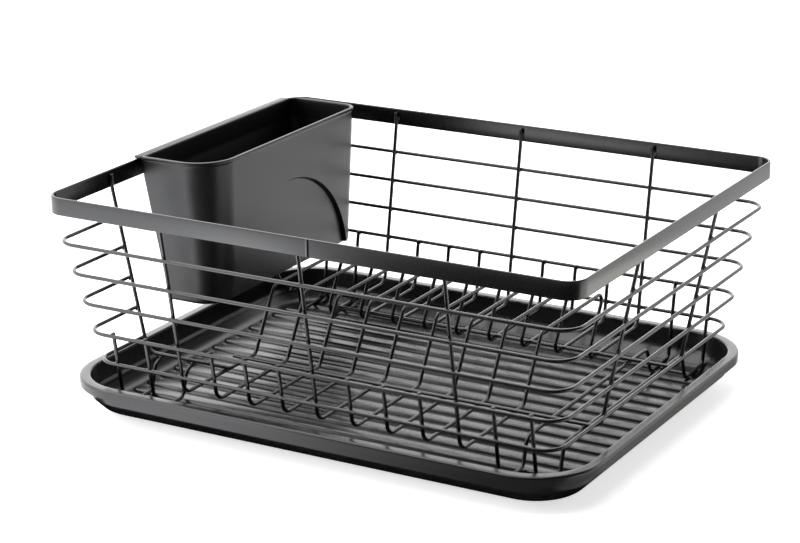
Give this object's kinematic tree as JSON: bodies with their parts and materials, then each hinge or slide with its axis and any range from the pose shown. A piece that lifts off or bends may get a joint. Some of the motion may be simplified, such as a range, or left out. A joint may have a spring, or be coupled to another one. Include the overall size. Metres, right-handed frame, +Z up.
{
  "type": "dish drying rack",
  "caption": "Wire dish drying rack with a flat rim band, plate dividers, a hook-on cutlery cup and a ribbed drip tray.",
  "frame": {"origin": "middle of the rack on the surface it stands on", "axes": "+X along the rack to the end away from the cup, +Y from front to back, +Z up"},
  "size_m": [0.422, 0.3348, 0.1708],
  "materials": {
    "tray_plastic": "moulded dark grey polypropylene, satin",
    "cup_plastic": "moulded near-black polypropylene, fine matt grain",
    "band_steel": "satin black powder coat on flat strip",
    "wire_steel": "satin black powder coat on round wire"
  },
  "bodies": {
    "tray": {"drip_tray": "tray_plastic"},
    "basket": {"rim_band": "band_steel", "ring_wire_1": "wire_steel", "ring_wire_2": "wire_steel", "ring_wire_3": "wire_steel", "ring_wire_4": "wire_steel", "ring_wire_5": "wire_steel", "divider_wire_1": "wire_steel", "divider_wire_2": "wire_steel", "divider_wire_3": "wire_steel", "divider_wire_4": "wire_steel", "divider_wire_5": "wire_steel", "divider_wire_6": "wire_steel", "divider_wire_7": "wire_steel", "divider_wire_8": "wire_steel", "divider_wire_9": "wire_steel", "foot_wire_1": "wire_steel", "foot_wire_2": "wire_steel", "short_foot_front_1": "wire_steel", "short_foot_back_1": "wire_steel", "short_foot_front_2": "wire_steel", "short_foot_back_2": "wire_steel", "upright_right_front": "wire_steel", "upright_right_back": "wire_steel", "upright_left_front": "wire_steel", "upright_left_back": "wire_steel"},
    "cup": {"cutlery_cup": "cup_plastic"}
  },
  "joints": [
    {"name": "basket_lift", "type": "slide", "parent": "tray", "child": "basket", "axis": [0, 0, 1], "range_m": [0, 0.05]},
    {"name": "cup_lift", "type": "slide", "parent": "basket", "child": "cup", "axis": [0, 0, 1], "range_m": [0, 0.13]}
  ]
}
